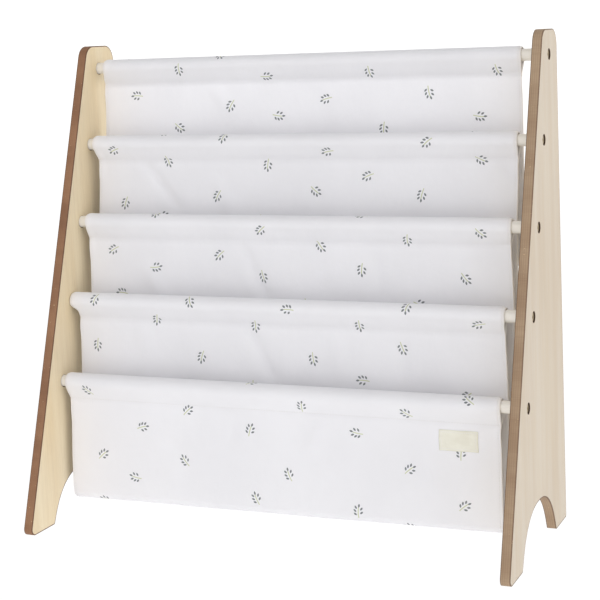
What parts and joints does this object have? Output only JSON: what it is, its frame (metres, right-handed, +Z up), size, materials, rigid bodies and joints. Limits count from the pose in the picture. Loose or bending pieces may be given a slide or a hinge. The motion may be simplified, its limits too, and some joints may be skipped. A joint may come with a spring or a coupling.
{
  "type": "sling bookshelf",
  "caption": "Child's sling bookshelf: arched plywood side panels joined by bolted rods that carry a canvas sling with tiered book pockets.",
  "frame": {"origin": "on the floor, at the middle of the rack's footprint", "axes": "+X to the right seen from the front, along the rods; +Y to the back; +Z up"},
  "size_m": [0.632, 0.2652, 0.612],
  "materials": {
    "plywood": "satin clear varnish on pale birch plywood, with brown laser-cut edges",
    "lacquered_dowel": "satin cream lacquer on a wooden dowel",
    "zinc_insert": "zinc plated steel",
    "bronzed_bolt": "dark bronze plated steel, satin",
    "printed_canvas": "matte off-white cotton canvas with a scattered print of small grey sprigs",
    "woven_label": "matte cream woven tape, bare"
  },
  "bodies": {
    "root": {"side_panel_left": "plywood", "side_panel_right": "plywood", "rod_1": "lacquered_dowel", "rod_2": "lacquered_dowel", "rod_3": "lacquered_dowel", "rod_4": "lacquered_dowel", "rod_5": "lacquered_dowel", "rod_insert_left_1": "zinc_insert", "rod_insert_left_2": "zinc_insert", "rod_insert_left_3": "zinc_insert", "rod_insert_left_4": "zinc_insert", "rod_insert_left_5": "zinc_insert", "rod_insert_right_1": "zinc_insert", "rod_insert_right_2": "zinc_insert", "rod_insert_right_3": "zinc_insert", "rod_insert_right_4": "zinc_insert", "rod_insert_right_5": "zinc_insert", "connector_bolt_left_1": "bronzed_bolt", "connector_bolt_left_2": "bronzed_bolt", "connector_bolt_left_3": "bronzed_bolt", "connector_bolt_left_4": "bronzed_bolt", "connector_bolt_left_5": "bronzed_bolt", "connector_bolt_right_1": "bronzed_bolt", "connector_bolt_right_2": "bronzed_bolt", "connector_bolt_right_3": "bronzed_bolt", "connector_bolt_right_4": "bronzed_bolt", "connector_bolt_right_5": "bronzed_bolt", "sling_sleeve_1": "printed_canvas", "sling_sleeve_2": "printed_canvas", "sling_sleeve_3": "printed_canvas", "sling_sleeve_4": "printed_canvas", "sling_sleeve_5": "printed_canvas", "sling_pocket_1": "printed_canvas", "sling_pocket_2": "printed_canvas", "sling_pocket_3": "printed_canvas", "sling_pocket_4": "printed_canvas", "sling_label": "woven_label"}
  },
  "joints": []
}
